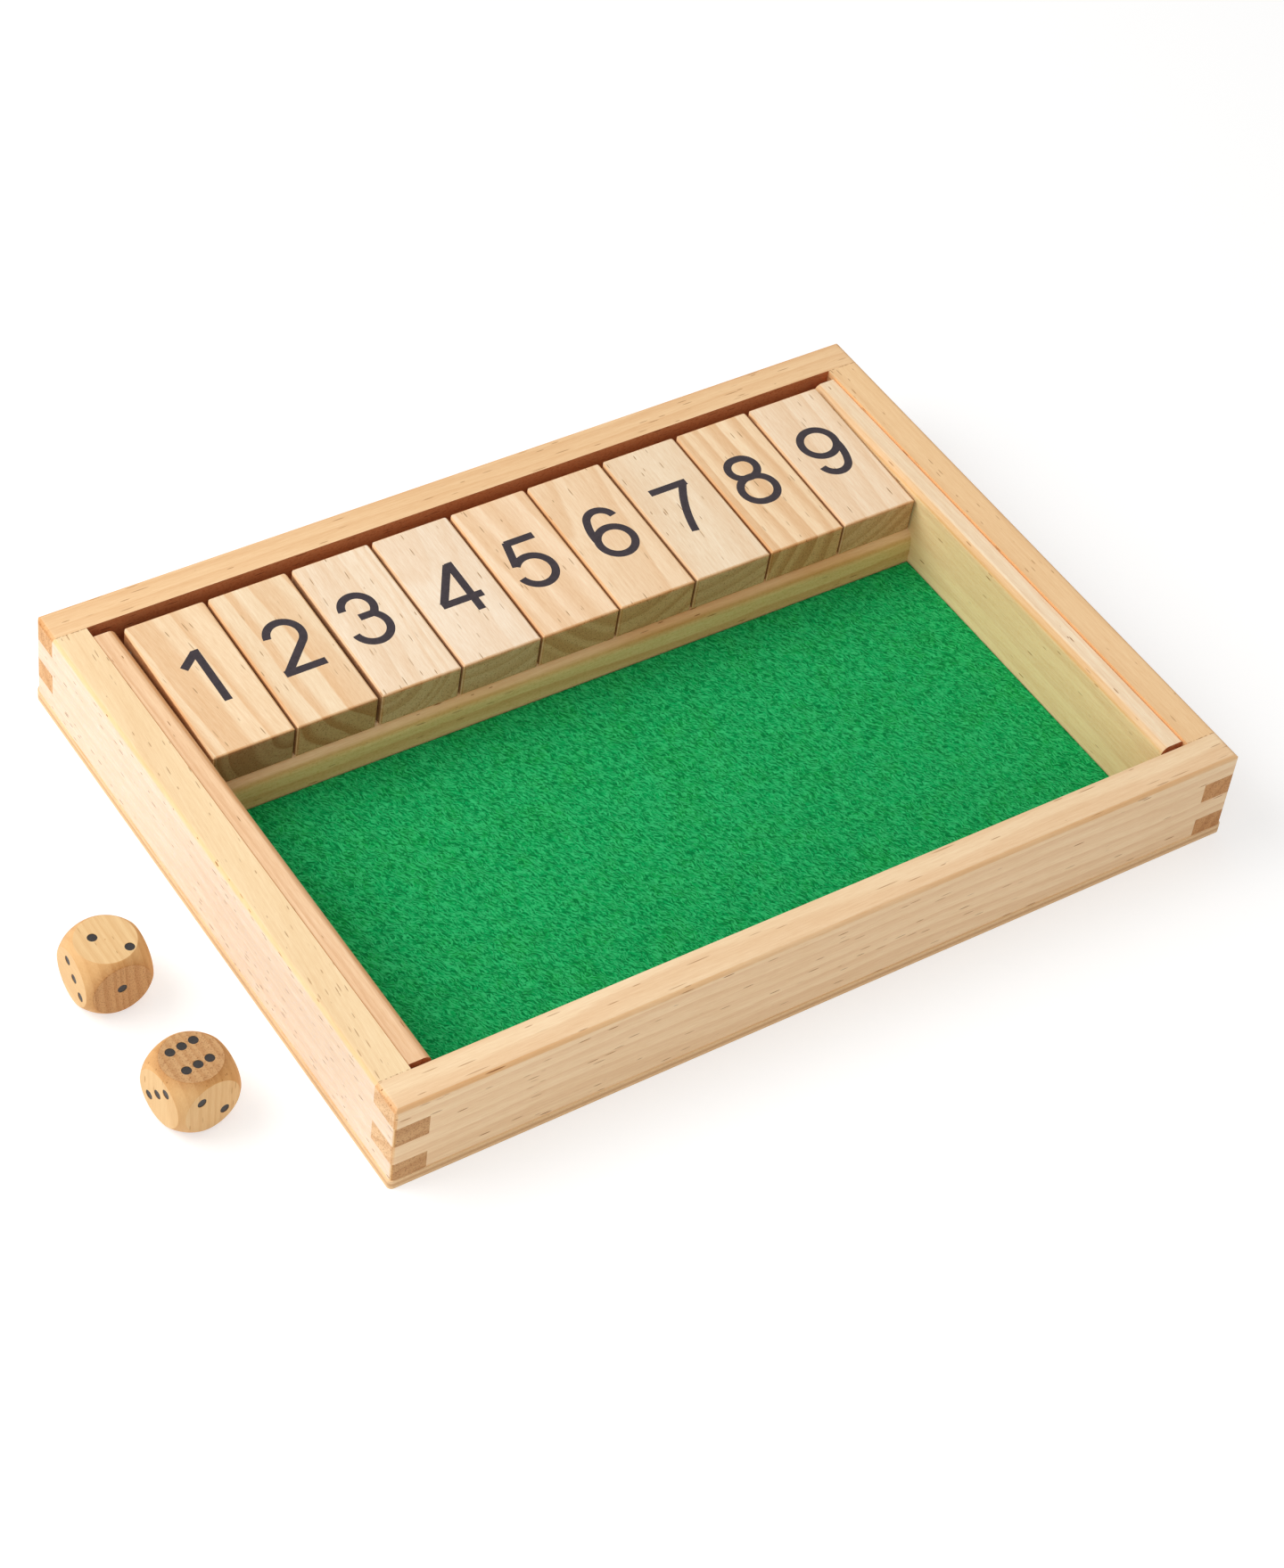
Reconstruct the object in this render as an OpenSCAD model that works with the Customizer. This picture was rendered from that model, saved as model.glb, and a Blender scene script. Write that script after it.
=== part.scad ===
// Shut the box game: a finger jointed pine tray with nine numbered tiles that flip
// back on one steel rod, a felt floor, and two wooden dice beside it.
// Millimetres. X runs along the row of tiles, Y from the player to the back, Z up.
// The origin is the middle of the underside of the tray.

/* [Tray] */
// Width of the tray over its side rails
box_w = 215; // [180:1:300]
// Depth of the tray from front to back
box_d = 157.5; // [130:0.5:220]
// Height of the tray with its base panel
box_h = 24.2; // [22:0.1:36]
// Thickness of the four rails
rail_t = 8.3; // [6:0.1:12]
// Thickness of the plywood base panel
base_t = 2.4; // [1.6:0.1:4]
// How far the base panel stands out past the rails
base_proud = 0.3; // [0:0.1:1]
// Height of the upper three fingers of a corner joint, the fourth takes the rest
finger_h = 5.6; // [4:0.1:6]
// Radius of the upright outer corners at the front
front_corner_r = 0.8; // [0.4:0.1:5]
// Radius of the upright outer corners at the back
back_corner_r = 2; // [0.4:0.1:5]
// Radius sanded on the outer top edge
edge_r = 1.2; // [0.4:0.1:1.4]

/* [Side strips] */
// Thickness of the strip inside each side rail
strip_t = 5.8; // [5:0.1:9]
// How far a strip's top lies below the rails
strip_drop = 0.5; // [0.3:0.1:3]
// Gap between a strip's end and the front rail
strip_front_gap = 1.6; // [0.5:0.1:4]
// Gap between a strip's end and the back rail
strip_back_gap = 2.7; // [0.5:0.1:4]
// Radius on a strip's top edge, towards the tiles
strip_in_r = 2; // [1.2:0.1:3.4]
// Radius on a strip's top edge, against the rail
strip_out_r = 0.6; // [0.4:0.1:1.2]

/* [Rod and rest bar] */
// Diameter of the steel rod
rod_d = 3; // [2:0.1:4]
// Height of the rail tops above the rod's axis
rod_drop = 5.2; // [4.8:0.1:7]
// Distance from the rod's axis to the back rail
rod_back = 7.6; // [7:0.1:12]
// Gap between each end of the rod and the side rail
rod_end_gap = 0.2; // [0.1:0.1:1]
// Radial clearance of the rod in the strips
rod_fit = 0.03; // [0.02:0.01:0.08]
// Radial clearance of the tiles on the rod
hinge_fit = 0.08; // [0.04:0.01:0.1]
// Width of the rest bar from front to back
bar_w = 10; // [8:0.5:16]
// Radius on the rest bar's front top edge
bar_r = 3.5; // [1:0.1:4.5]
// How far the rest bar stands out in front of the tiles
bar_show = 1.1; // [0:0.1:3]
// Gap left between a resting tile and the bar
rest_gap = 0.05; // [0.03:0.01:0.3]

/* [Tiles] */
// Length of a tile
tile_l = 42.3; // [36:0.1:55]
// Thickness of a tile
tile_t = 9.6; // [8:0.1:10]
// Distance from the rod's axis to a tile's back end
tile_tail = 4.4; // [3.6:0.1:5]
// Usual gap between two tiles
tile_gap = 0.5; // [0.45:0.05:1]
// Slope of a resting tile, front end down, in degrees
rest_slope = 3.2; // [0:0.1:5]
// Radius on a tile's long edges and its ends
tile_edge_r = 0.7; // [0.3:0.1:1.5]
// Radius of a tile's back corners, seen from above
tile_back_r = 1.8; // [0.8:0.1:3]

/* [Numerals] */
// Height of a numeral
numeral_h = 16.2; // [10:0.1:18]
// Width of the numeral's stroke at a height of 16.2
pen = 1.95; // [1:0.05:2]
// Depth of the ink in the wood
ink_t = 0.2; // [0.1:0.05:0.6]
// Distance from a tile's front end to the middle of its numeral
numeral_at = 21.8; // [18:0.1:26]

/* [Felt] */
// Thickness of the felt
felt_t = 1; // [0.8:0.1:3]
// Gap round the edge of the felt
felt_gap = 0.25; // [0.1:0.05:1]

/* [Dice] */
// Size of a die across its faces
die_s = 15.5; // [12:0.5:20]
// Diameter of the ball that rounds off the corners, as a multiple of the size
die_ball = 1.32; // [1.25:0.01:1.5]
// Diameter of a pip
pip_d = 2.2; // [1.5:0.05:2.4]
// Distance of the outer pips from the middle of a face
pip_spacing = 2.85; // [2.5:0.05:3.2]
// Depth of a drilled pip
pip_depth = 0.4; // [0.4:0.1:1.5]
// Thickness of the paint in a pip
paint_t = 0.3; // [0.1:0.05:0.3]
// Distance from the tray's left side to the middle of the first die
die_1_out = 25.9; // [14:0.1:60]
// Distance of the first die behind the middle of the tray
die_1_y = -5.3; // [-15:0.1:60]
// Distance from the tray's left side to the middle of the second die
die_2_out = 25.1; // [14:0.1:60]
// Distance of the second die behind the middle of the tray
die_2_y = -41.2; // [-70:0.1:-32]
// Turn of the second die, in degrees
die_2_turn = 7.4; // [-20:0.1:20]

/* [Hidden] */
$fn = 72;

tile_count = 9;
pine = "#efcb96";
pale_pine = "#f5d9ae";
ply = "#dcb684";
steel = "#b4b4b0";
ink = "#3a3440";
beech = "#dcb070";
pip_black = "#1c1714";
felt_green = "#109a4b";

// Extra length by which a cutting solid passes the face it cuts
over = 1;
// Half the width and half the depth of the space inside the rails
in_x = box_w / 2 - rail_t;
in_y = box_d / 2 - rail_t;
// Half the width between the two side strips
bay_x = in_x - strip_t;

// The gaps are a little uneven, as on the hand fitted original: what each gap,
// from the left strip to the right one, adds to tile_gap
gap_drift = [0.5, 0, 0.45, 0, 0, -0.1, 0, -0.1, -0.1, -0.1];
function gap(i) = tile_gap + gap_drift[i];
function gaps_to(i) = i < 0 ? 0 : gap(i) + gaps_to(i - 1);
tile_w = (2 * bay_x - gaps_to(tile_count)) / tile_count;
function tile_left(n) = -bay_x + gaps_to(n - 1) + (n - 1) * tile_w;

rod_y = in_y - rod_back;
rod_z = box_h - rod_drop;

// The tiles lie on the rounded edge of the rest bar, whose centre is found from
// the rod and the slope of a resting tile
bar_y = rod_y - (tile_l - tile_tail) - bar_show;
bar_reach = rod_y - bar_y - bar_r;
bar_press = tile_t / 2 + bar_r + rest_gap;
bar_top = rod_z - (bar_press + bar_reach * sin(rest_slope)) / cos(rest_slope) + bar_r;

// How far each stamped numeral sits to the right of and behind its usual place
numeral_drift = [
    [-0.8, 0], [0.2, 0.3], [-2, 0.4], [0.1, -0.4], [-0.5, -0.3],
    [0.4, 0.1], [-0.1, -0.3], [-1.1, 0.5], [-0.1, 1.2]
];
// Height at which the numerals below are drawn
drawn_h = 16.2;

// Centred rectangle whose corners have one radius at the front and one at the back
module round_rect(w, d, front_r, back_r) {
    translate([-w / 2, front_r - d / 2]) square([w, d - front_r - back_r]);
    translate([front_r - w / 2, -d / 2]) square([w - 2 * front_r, d / 2]);
    translate([back_r - w / 2, 0]) square([w - 2 * back_r, d / 2]);
    for (s = [-1, 1]) {
        translate([s * (w / 2 - front_r), front_r - d / 2]) circle(front_r);
        translate([s * (w / 2 - back_r), d / 2 - back_r]) circle(back_r);
    }
}

// Rectangle from the origin up, with round upper corners
module round_top(w, h, left_r, right_r) {
    square([w / 2, h - left_r]);
    translate([w / 2, 0]) square([w / 2, h - right_r]);
    translate([left_r, 0]) square([w - left_r - right_r, h]);
    if (left_r > 0) translate([left_r, h - left_r]) circle(left_r);
    if (right_r > 0) translate([w - right_r, h - right_r]) circle(right_r);
}

// Heights at which finger k of a corner joint starts and ends, counted from the top
function finger_foot(k) = k == 4 ? base_t : box_h - k * finger_h;
function finger_head(k) = box_h - (k - 1) * finger_h;

// Rail drawn along X with its outer face on Y = 0, and with the fingers that reach
// through to the tray's outer corners, whose radii are given for its two ends
module rail(l, fingers, left_r, right_r) {
    color(pine) intersection() {
        linear_extrude(box_h) translate([-l / 2, rail_t]) mirror([0, 1])
            round_top(l, rail_t, left_r, right_r);
        rotate([90, 0, 90]) linear_extrude(l, center = true)
            round_top(rail_t, box_h, edge_r, 0);
        translate([0, rail_t, 0]) rotate([90, 0, 0]) linear_extrude(rail_t) {
            translate([rail_t - l / 2, base_t]) square([l - 2 * rail_t, box_h - base_t]);
            for (k = fingers) {
                end_r = k == 1 ? edge_r : 0;
                translate([-l / 2, finger_foot(k)])
                    round_top(l, finger_head(k) - finger_foot(k), end_r, end_r);
            }
        }
    }
}

module front_rail() {
    translate([0, -box_d / 2, 0]) rail(box_w, [1, 3], front_corner_r, front_corner_r);
}

module back_rail() {
    translate([0, box_d / 2, 0]) rotate(180)
        rail(box_w, [1, 3], back_corner_r, back_corner_r);
}

module left_rail() {
    translate([-box_w / 2, 0, 0]) rotate(-90)
        rail(box_d, [2, 4], back_corner_r, front_corner_r);
}

module right_rail() {
    mirror([1, 0, 0]) left_rail();
}

module base_panel() {
    color(ply) linear_extrude(base_t)
        round_rect(box_w + 2 * base_proud, box_d + 2 * base_proud,
            front_corner_r + base_proud, back_corner_r + base_proud);
}

module felt_mat() {
    w = 2 * (bay_x - felt_gap);
    d = bar_y + in_y - 2 * felt_gap;
    color(felt_green) translate([-w / 2, felt_gap - in_y, base_t]) cube([w, d, felt_t]);
}

// Strip that carries one end of the rod, drawn inside the left rail
module side_strip() {
    h = box_h - strip_drop - base_t;
    l = 2 * in_y - strip_front_gap - strip_back_gap;
    color(pine) difference() {
        translate([-in_x, in_y - strip_back_gap, base_t]) rotate([90, 0, 0]) linear_extrude(l)
            round_top(strip_t, h, strip_out_r, strip_in_r);
        translate([-in_x - over, rod_y, rod_z]) rotate([0, 90, 0])
            cylinder(d = rod_d + 2 * rod_fit, h = strip_t + 2 * over);
    }
}

module left_strip() {
    side_strip();
}

module right_strip() {
    mirror([1, 0, 0]) side_strip();
}

module tile_rest_bar() {
    color(pine) translate([-bay_x, bar_y, base_t]) rotate([90, 0, 90])
        linear_extrude(2 * bay_x) round_top(bar_w, bar_top - base_t, bar_r, 0);
}

module pivot_rod() {
    l = 2 * (in_x - rod_end_gap);
    color(steel) translate([-l / 2, rod_y, rod_z]) rotate([0, 90, 0]) cylinder(d = rod_d, h = l);
}

// Puts a child, drawn about the rod's axis from a tile's left side, in its resting place
module at_tile(n) {
    translate([tile_left(n), rod_y, rod_z]) rotate([rest_slope, 0, 0]) children();
}

// Wooden blank of a tile, from the rod's axis, with all its edges round
module tile_blank() {
    middle = tile_tail - tile_l / 2;
    r = tile_edge_r;
    intersection() {
        translate([tile_w / 2, middle]) linear_extrude(tile_t, center = true)
            round_rect(tile_w, tile_l, r, tile_back_r);
        rotate([90, 0, 90]) linear_extrude(tile_w)
            translate([middle, 0]) round_rect(tile_l, tile_t, r, r);
        translate([0, tile_tail, 0]) rotate([90, 0, 0]) linear_extrude(tile_l)
            translate([tile_w / 2, 0]) round_rect(tile_w, tile_t, r, r);
    }
}

module tile(n) {
    color(pale_pine) at_tile(n) difference() {
        tile_blank();
        translate([-over, 0, 0]) rotate([0, 90, 0])
            cylinder(d = rod_d + 2 * hinge_fit, h = tile_w + 2 * over);
        ink_solid(n, over);
    }
}

module numeral(n) {
    color(ink) at_tile(n) ink_solid(n, 0);
}

// Ink of numeral n, sunk into the top of its tile and raised above it by extra
module ink_solid(n, extra) {
    x = tile_w / 2 + numeral_drift[n - 1].x;
    y = tile_tail - tile_l + numeral_at + numeral_drift[n - 1].y;
    translate([x, y, tile_t / 2 - ink_t]) linear_extrude(ink_t + extra)
        scale(numeral_h / drawn_h) numeral_shape(n);
}

// Straight stroke of the pen from a to b
module stroke(a, b) {
    run = b - a;
    translate(a) rotate(atan2(run.y, run.x)) translate([0, -pen / 2]) square([norm(run), pen]);
}

// Round stroke about a centre, from one angle to a larger one
module bend(centre, r, from, to) {
    steps = 8;
    far = 1.3 * (r + pen);
    translate(centre) intersection() {
        difference() {
            circle(r + pen / 2);
            circle(r - pen / 2);
        }
        polygon([
            [0, 0],
            for (k = [0 : steps]) let (a = from + (to - from) * k / steps) far * [cos(a), sin(a)]
        ]);
    }
}

// Closed loop of the pen: a circle drawn out sideways by a short straight piece
module bowl(centre, r, straight) {
    translate(centre) difference() {
        oblong(r + pen / 2, straight);
        oblong(r - pen / 2, straight);
    }
}

module oblong(r, straight) {
    square([straight, 2 * r], center = true);
    for (s = [-1, 1]) translate([s * straight / 2, 0]) circle(r);
}

// The numerals are drawn about their own middle, at the height drawn_h
module numeral_shape(n) {
    if (n == 1) numeral_one();
    if (n == 2) numeral_two();
    if (n == 3) numeral_three();
    if (n == 4) numeral_four();
    if (n == 5) numeral_five();
    if (n == 6) numeral_six();
    if (n == 7) numeral_seven();
    if (n == 8) numeral_eight();
    if (n == 9) rotate(180) numeral_six();
}

module numeral_one() {
    stroke([1.9, -8.1], [1.9, 8.1]);
    stroke([-2.7, 3.85], [1.6, 7.3]);
}

module numeral_two() {
    bend([0.3, 3.1], 4.1, -46, 174);
    stroke([3.4, 0.4], [-4.2, -7]);
    stroke([-5.2, -7.2], [5.1, -7.2]);
}

module numeral_three() {
    bend([0.1, 3.5], 3.75, -55, 178);
    bend([0, -2.9], 4.35, -170, 60);
    stroke([-1, 0.7], [2.3, 0.7]);
}

module numeral_four() {
    stroke([2.6, -7.9], [2.6, 7.8]);
    stroke([-5.3, -3.5], [5.3, -3.5]);
    stroke([-4.7, -3.3], [2.1, 7.2]);
}

module numeral_five() {
    stroke([-2.6, 7.1], [4.9, 7.1]);
    stroke([-3.9, -0.2], [-2.2, 7.5]);
    bend([-0.2, -2.7], 4.5, -165, 145);
}

module numeral_six() {
    bowl([0.1, -2.9], 4.35, 0.1);
    bend([0.2, 3.6], 3.6, 12, 157);
    bend([9.05, -0.25], 13.25, 156, 187);
}

module numeral_seven() {
    stroke([-5, 6.9], [5, 6.9]);
    bend([34, -13.1], 36, 146.5, 171.5);
}

module numeral_eight() {
    bowl([0, 4.05], 3.2, 0.8);
    bowl([0, -3.15], 4.1, 0.6);
}

// Places of the pips on a face with n of them, in steps of pip_spacing
function pip_spots(n) = concat(
    n % 2 == 1 ? [[0, 0]] : [],
    n > 1 ? [[-1, 1], [1, -1]] : [],
    n > 3 ? [[-1, -1], [1, 1]] : [],
    n == 6 ? [[0, 1], [0, -1]] : []
);

// Each face of a die: the turn that brings the top there, its number, how far its
// pips are turned, and how far the drill missed the middle
die_1_faces = [
    [[0, 0, 0], 2, 0, [0.7, -1.2]], [[180, 0, 0], 5, 0, [0.4, 0]],
    [[0, -90, 0], 3, 90, [0.6, -1.1]], [[0, 90, 0], 4, 0, [0, -0.5]],
    [[90, 0, 0], 1, 0, [0, 0.2]], [[-90, 0, 0], 6, 0, [0.3, 0.2]]
];
die_2_faces = [
    [[0, 0, 0], 6, 0, [0.1, 0.6]], [[180, 0, 0], 1, 0, [0.3, -0.4]],
    [[0, -90, 0], 3, 0, [0.8, 0.6]], [[0, 90, 0], 4, 0, [-0.4, 0.3]],
    [[90, 0, 0], 2, 0, [0.1, 0]], [[-90, 0, 0], 5, 0, [0, 0.4]]
];

// A disc for every pip of a die, from one height above its middle to another
module pip_discs(faces, from, to) {
    for (f = faces) rotate(f[0]) translate(f[3]) rotate(f[2])
        for (p = pip_spots(f[1])) translate([p.x * pip_spacing, p.y * pip_spacing, from])
            cylinder(d = pip_d, h = to - from);
}

module die_body(faces) {
    color(beech) difference() {
        intersection() {
            cube(die_s, center = true);
            sphere(d = die_s * die_ball);
        }
        pip_discs(faces, die_s / 2 - pip_depth, die_s / 2 + over);
    }
}

module die_paint(faces) {
    floor_z = die_s / 2 - pip_depth;
    color(pip_black) pip_discs(faces, floor_z, floor_z + paint_t);
}

// Puts a child, drawn about a die's middle, on the table to the left of the tray
module on_table(out, y, turn) {
    translate([-box_w / 2 - out, y, die_s / 2]) rotate(turn) children();
}

module die_1() {
    on_table(die_1_out, die_1_y, 0) die_body(die_1_faces);
}

module die_2() {
    on_table(die_2_out, die_2_y, die_2_turn) die_body(die_2_faces);
}

module die_1_pips() {
    on_table(die_1_out, die_1_y, 0) die_paint(die_1_faces);
}

module die_2_pips() {
    on_table(die_2_out, die_2_y, die_2_turn) die_paint(die_2_faces);
}

front_rail();
back_rail();
left_rail();
right_rail();
base_panel();
felt_mat();
left_strip();
right_strip();
tile_rest_bar();
pivot_rod();
tile(1);  // tile_1
tile(2);  // tile_2
tile(3);  // tile_3
tile(4);  // tile_4
tile(5);  // tile_5
tile(6);  // tile_6
tile(7);  // tile_7
tile(8);  // tile_8
tile(9);  // tile_9
numeral(1);  // numeral_1
numeral(2);  // numeral_2
numeral(3);  // numeral_3
numeral(4);  // numeral_4
numeral(5);  // numeral_5
numeral(6);  // numeral_6
numeral(7);  // numeral_7
numeral(8);  // numeral_8
numeral(9);  // numeral_9
die_1();
die_2();
die_1_pips();
die_2_pips();
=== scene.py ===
import math

import bpy
from mathutils import Matrix, Vector, noise


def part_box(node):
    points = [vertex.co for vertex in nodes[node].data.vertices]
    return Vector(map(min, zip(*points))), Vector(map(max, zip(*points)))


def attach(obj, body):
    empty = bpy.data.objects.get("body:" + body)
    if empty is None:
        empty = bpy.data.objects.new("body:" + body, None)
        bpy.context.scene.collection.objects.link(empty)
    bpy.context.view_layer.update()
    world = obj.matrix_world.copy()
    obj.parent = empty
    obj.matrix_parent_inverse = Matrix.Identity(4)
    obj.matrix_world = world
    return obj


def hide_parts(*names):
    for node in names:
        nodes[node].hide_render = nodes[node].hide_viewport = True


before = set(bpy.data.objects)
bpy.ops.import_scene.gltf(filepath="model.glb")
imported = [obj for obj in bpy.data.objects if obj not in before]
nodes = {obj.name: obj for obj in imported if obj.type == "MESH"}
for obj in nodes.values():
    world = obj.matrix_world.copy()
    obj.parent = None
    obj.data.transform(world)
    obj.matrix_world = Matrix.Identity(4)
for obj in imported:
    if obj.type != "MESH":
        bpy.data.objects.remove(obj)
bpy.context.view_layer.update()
print("frame loaded:", len(nodes), "nodes")


# small helpers for node trees
def addNode(tree, kind, inputs=None, **settings):
    node = tree.nodes.new("ShaderNode" + kind)
    for name, value in settings.items():
        setattr(node, name, value)
    for socket, value in (inputs or {}).items():
        if isinstance(value, bpy.types.NodeSocket):
            tree.links.new(value, node.inputs[socket])
        else:
            node.inputs[socket].default_value = value
    return node


def doMath(tree, operation, a, b=0.0, c=0.0, clamp=False):
    node = addNode(tree, "Math", {0: a, 1: b, 2: c}, operation=operation, use_clamp=clamp)
    return node.outputs[0]


def doVector(tree, operation, a, b=(0.0, 0.0, 0.0)):
    inputs = {0: a, 3: b} if operation == "SCALE" else {0: a, 1: b}
    node = addNode(tree, "VectorMath", inputs, operation=operation)
    return node.outputs["Value" if operation in ("LENGTH", "DOT_PRODUCT") else "Vector"]


def mixColor(tree, factor, a, b, blend="MIX"):
    node = addNode(tree, "Mix", {0: factor, 6: a, 7: b}, data_type="RGBA", blend_type=blend)
    return node.outputs[2]


def softStep(tree, value, low, high):
    node = addNode(tree, "MapRange", {0: value, 1: low, 2: high}, interpolation_type="SMOOTHSTEP")
    return node.outputs[0]


def noiseAt(tree, vector, scale, detail=2.0, roughness=0.5, squeeze=None):
    if squeeze:
        vector = doVector(tree, "MULTIPLY", vector, squeeze)
    return addNode(tree, "TexNoise", {"Vector": vector, "Scale": scale, "Detail": detail,
                                      "Roughness": roughness})


def rgb(hexColor):
    # colours are written as they look, and shaders want them linear
    parts = [int(hexColor[i:i + 2], 16) / 255 for i in (0, 2, 4)]
    return tuple(c / 12.92 if c <= 0.04045 else ((c + 0.055) / 1.055) ** 2.4 for c in parts) + (1.0,)


def newGroup(name, inputs, outputs):
    group = bpy.data.node_groups.new(name, "ShaderNodeTree")
    for socket, kind, value in inputs:
        item = group.interface.new_socket(socket, in_out="INPUT", socket_type="NodeSocket" + kind)
        if value is not None:
            item.default_value = value
    for socket, kind in outputs:
        group.interface.new_socket(socket, in_out="OUTPUT", socket_type="NodeSocket" + kind)
    return group, group.nodes.new("NodeGroupInput").outputs, group.nodes.new("NodeGroupOutput").inputs


# pine as one solid figure, in mm, with its growth rings round a pith that runs along X
pineFigure = {
    # how often each pattern changes in a mm, along the grain and across it
    "sway": (0.013, 0.035, 0.035), "fibre": (0.06, 1.7, 1.7), "hair": (0.35, 4.5, 4.5),
    "cloud": (0.02, 0.13, 0.13), "crowd": (0.025, 0.12, 0.12), "rough": (1.4, 2.4, 2.4),
    "dots": (0.6, 1.3, 1.3), "grit": 2.6, "uneven": 0.11,
    # how much fibres, hairs and clouds lighten and darken the wood
    "fibreTone": 0.34, "hairTone": 0.34, "cloudTone": 0.24,
    # powers by which one tone moves red, green and blue
    "redPower": 0.55, "bluePower": 1.5,
    # a resin canal: cells in a mm along the grain, half lengths and half width in cells
    "cellsAlong": 0.22, "shortest": 0.1, "longer": 0.28, "halfWidth": 0.17,
    "faintest": 0.45, "fainter": 0.5,
    # how much of each darker layer shows
    "roughShare": 0.55, "seamShare": 0.75, "endRingShare": 0.28, "gritShare": 0.65,
    "gritTint": rgb("b48c74"), "baseRoughness": 0.5, "shine": 0.22,
    # here and in the looks below, a bump's strength and its height in metres
    "bump": (0.3, 0.00012),
}


def addTone(tree, tone, pattern, strength):
    return doMath(tree, "MULTIPLY_ADD", doMath(tree, "SUBTRACT", pattern, 0.5), strength, tone)


def makePineGroup(look):
    tree, given, out = newGroup("pineFigure", [
        ("Vector", "Vector", None), ("Normal", "Vector", None),
        ("Pale", "Color", rgb("f5d8ac")), ("Ring", "Color", rgb("e6b98a")),
        ("Fleck", "Color", rgb("a98a62")), ("End Tint", "Color", rgb("e7dad3")),
        ("Sawn And Painted Light Tint", "Color", rgb("ffffff")), ("Sawn Side", "Vector", (0.0, 1.0, 0.0)),
        ("Both Sides", "Float", 0.0), ("Edge Tint", "Color", rgb("ffffff")),
        ("Past Seam", "Float", -1000.0),
        ("Ring Width", "Float", 4.0), ("Ring Strength", "Float", 0.4), ("Wander", "Float", 3.0),
        ("Fleck Share", "Float", 0.4), ("Fleck Stretch", "Float", 1.0), ("Fibre Strength", "Float", 1.0),
    ], [("Color", "Color"), ("Roughness", "Float"), ("Height", "Float")])
    place = given["Vector"]

    # the rings sway slowly along the board
    sway = noiseAt(tree, place, 1.0, 2.0, 0.5, look["sway"]).outputs["Color"]
    sway = doVector(tree, "SUBTRACT", sway, (0.5, 0.5, 0.5))
    sway = doVector(tree, "SCALE", sway, doMath(tree, "MULTIPLY", given["Wander"], 4.0))
    across = doVector(tree, "MULTIPLY", doVector(tree, "ADD", place, sway), (0.0, 1.0, 1.0))
    radius = doVector(tree, "LENGTH", across)
    uneven = noiseAt(tree, radius, look["uneven"], 1.0).outputs["Fac"]
    phase = doMath(tree, "MULTIPLY_ADD", uneven, 2.2, doMath(tree, "DIVIDE", radius, given["Ring Width"]))
    saw = doMath(tree, "FRACT", phase)
    late = doMath(tree, "MULTIPLY", softStep(tree, saw, 0.25, 0.86), softStep(tree, saw, 1.0, 0.9))

    # long fibres, fine hairs, and the slow change of tone from one part of the board to the next
    fibre = noiseAt(tree, place, 1.0, 3.0, 0.6, look["fibre"]).outputs["Fac"]
    hair = noiseAt(tree, place, 1.0, 2.0, 0.6, look["hair"]).outputs["Fac"]
    cloud = noiseAt(tree, place, 1.0, 2.0, 0.5, look["cloud"]).outputs["Fac"]
    ringAmount = doMath(tree, "MULTIPLY", late, given["Ring Strength"])
    ringAmount = doMath(tree, "MULTIPLY", ringAmount,
                        doMath(tree, "MULTIPLY_ADD", cloud, 1.3, 0.35), clamp=True)
    wood = mixColor(tree, ringAmount, given["Pale"], given["Ring"])
    tone = addTone(tree, 1.0, fibre, look["fibreTone"])
    tone = addTone(tree, tone, hair, look["hairTone"])
    tone = addTone(tree, tone, cloud, look["cloudTone"])
    tone = doMath(tree, "MULTIPLY_ADD", doMath(tree, "SUBTRACT", tone, 1.0), given["Fibre Strength"], 1.0)
    tint = addNode(tree, "CombineXYZ", {0: doMath(tree, "POWER", tone, look["redPower"]), 1: tone,
                                        2: doMath(tree, "POWER", tone, look["bluePower"])}).outputs[0]
    wood = mixColor(tree, 1.0, wood, tint, "MULTIPLY")

    # resin canals: thin tapered dashes along the grain, one at most in each cell
    stretched = doMath(tree, "DIVIDE", look["cellsAlong"], given["Fleck Stretch"])
    cellScale = addNode(tree, "CombineXYZ", {0: stretched, 1: 1.0, 2: 1.0}).outputs[0]
    inCells = doVector(tree, "MULTIPLY", place, cellScale)
    cells = addNode(tree, "TexVoronoi", {"Vector": inCells, "Scale": 1.0, "Randomness": 1.0})
    draw = addNode(tree, "SeparateColor", {0: cells.outputs["Color"]}).outputs
    away = doVector(tree, "SUBTRACT", inCells, cells.outputs["Position"])
    parts = addNode(tree, "SeparateXYZ", {0: away}).outputs
    halfLength = doMath(tree, "MULTIPLY_ADD", draw[1], look["longer"], look["shortest"])
    along = doMath(tree, "DIVIDE", parts[0], halfLength)
    off = doMath(tree, "MULTIPLY_ADD", parts[1], parts[1], doMath(tree, "MULTIPLY", parts[2], parts[2]))
    off = doMath(tree, "DIVIDE", doMath(tree, "SQRT", off), look["halfWidth"])
    reach = doMath(tree, "MULTIPLY_ADD", along, along, doMath(tree, "MULTIPLY", off, off))
    crowd = noiseAt(tree, place, 1.0, 1.0, 0.5, look["crowd"]).outputs["Fac"]
    limit = doMath(tree, "MULTIPLY", given["Fleck Share"], doMath(tree, "MULTIPLY_ADD", crowd, 5.0, -1.5))
    picked = doMath(tree, "LESS_THAN", draw[0], limit)
    fleck = doMath(tree, "MULTIPLY", softStep(tree, reach, 1.0, 0.3), picked)
    depth = doMath(tree, "MULTIPLY_ADD", draw[2], look["fainter"], look["faintest"])
    wood = mixColor(tree, doMath(tree, "MULTIPLY", fleck, depth), wood, given["Fleck"])
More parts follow.
